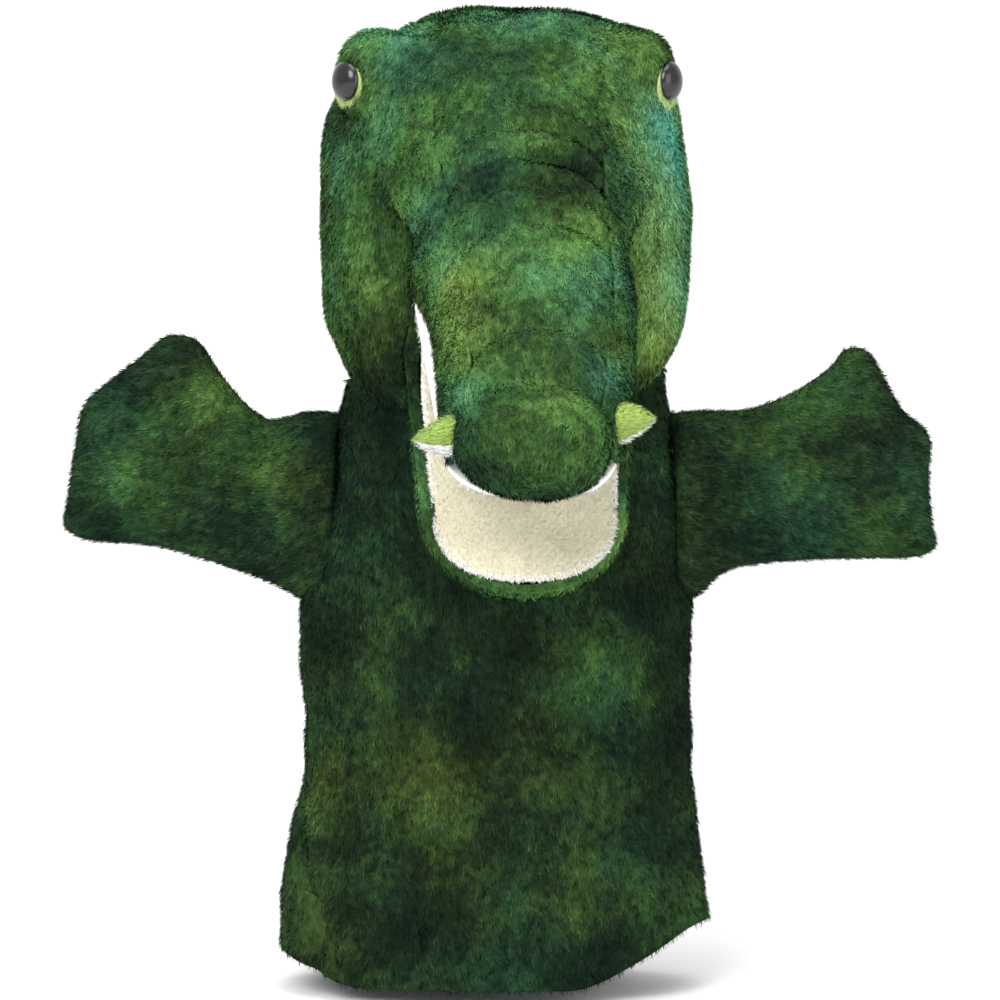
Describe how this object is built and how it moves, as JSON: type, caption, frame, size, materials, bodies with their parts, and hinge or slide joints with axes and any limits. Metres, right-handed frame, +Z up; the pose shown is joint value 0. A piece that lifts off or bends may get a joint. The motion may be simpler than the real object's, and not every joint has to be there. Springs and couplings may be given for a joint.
{
  "type": "moving mouth hand puppet",
  "caption": "Plush crocodile hand puppet with a sleeve, two flat padded arms, a turning and nodding head, and a lower jaw that opens.",
  "frame": {"origin": "middle of the hand opening, in the plane of the hem", "axes": "+Z up, -Y the way the puppet faces, +X to the right of someone who looks at its face"},
  "size_m": [0.25, 0.1703, 0.277],
  "materials": {
    "green_plush": "short dense plush, mottled green",
    "dark_plush": "short dense plush, mottled dark green",
    "lime_plush": "short plush, lime green",
    "white_plush": "short plush, white",
    "cream_lining": "fine short-nap fabric, cream",
    "fibre_fill": "soft fibre fill",
    "stiffener": "stiff felt board",
    "eye_black": "high gloss",
    "washer_plastic": "matt moulded"
  },
  "bodies": {
    "torso": {"sleeve_front_panel": "green_plush", "sleeve_back_panel": "dark_plush", "hem_facing": "dark_plush"},
    "neck": {"neck_gusset": "dark_plush"},
    "left_arm": {"left_arm_front_panel": "green_plush", "left_arm_back_panel": "dark_plush", "left_arm_stuffing": "fibre_fill"},
    "right_arm": {"right_arm_front_panel": "green_plush", "right_arm_back_panel": "dark_plush", "right_arm_stuffing": "fibre_fill"},
    "lower_jaw": {"chin_panel": "green_plush", "mouth_floor_lining": "cream_lining", "jaw_board": "stiffener", "thumb_pocket": "cream_lining", "jaw_tip_stuffing": "fibre_fill"},
    "head": {"crown_panel": "green_plush", "nape_panel": "dark_plush", "throat_panel": "dark_plush", "crown_stuffing": "fibre_fill", "left_cheek_panel": "green_plush", "left_cheek_stuffing": "fibre_fill", "right_cheek_panel": "green_plush", "right_cheek_stuffing": "fibre_fill", "left_brow_pad": "green_plush", "right_brow_pad": "green_plush", "left_eye": "eye_black", "right_eye": "eye_black", "left_eye_felt": "lime_plush", "right_eye_felt": "lime_plush", "left_eye_washer": "washer_plastic", "right_eye_washer": "washer_plastic", "snout_top_panel": "green_plush", "left_snout_side": "green_plush", "right_snout_side": "green_plush", "snout_padding": "fibre_fill", "nose_panel": "green_plush", "nose_stuffing": "fibre_fill", "palate_lining": "cream_lining", "palate_board": "stiffener", "finger_pocket": "cream_lining", "mouth_fold": "cream_lining", "left_fang_top": "lime_plush", "left_fang_underside": "white_plush", "right_fang_top": "lime_plush", "right_fang_underside": "white_plush"}
  },
  "joints": [
    {"name": "neck_turn", "type": "hinge", "parent": "torso", "child": "neck", "pos_m": [0, 0, 0.216], "axis": [0, 0, 1], "range_deg": [-25, 25], "stiffness_Nm_per_rad": 0.3},
    {"name": "neck_nod", "type": "hinge", "parent": "neck", "child": "head", "pos_m": [0, 0, 0.216], "axis": [-0.9962, -0.0872, 0], "range_deg": [-8, 28], "stiffness_Nm_per_rad": 1.5},
    {"name": "mouth_open", "type": "hinge", "parent": "head", "child": "lower_jaw", "pos_m": [0.00392, -0.04483, 0.2], "axis": [0.9962, 0.0872, 0], "range_deg": [-19, 16], "stiffness_Nm_per_rad": 0.3},
    {"name": "left_arm_swing", "type": "hinge", "parent": "torso", "child": "left_arm", "pos_m": [-0.054, 0, 0.1375], "axis": [0, 0, 1], "range_deg": [-35, 45], "stiffness_Nm_per_rad": 0.05},
    {"name": "right_arm_swing", "type": "hinge", "parent": "torso", "child": "right_arm", "pos_m": [0.054, 0, 0.1375], "axis": [0, 0, -1], "range_deg": [-35, 45], "stiffness_Nm_per_rad": 0.05}
  ]
}
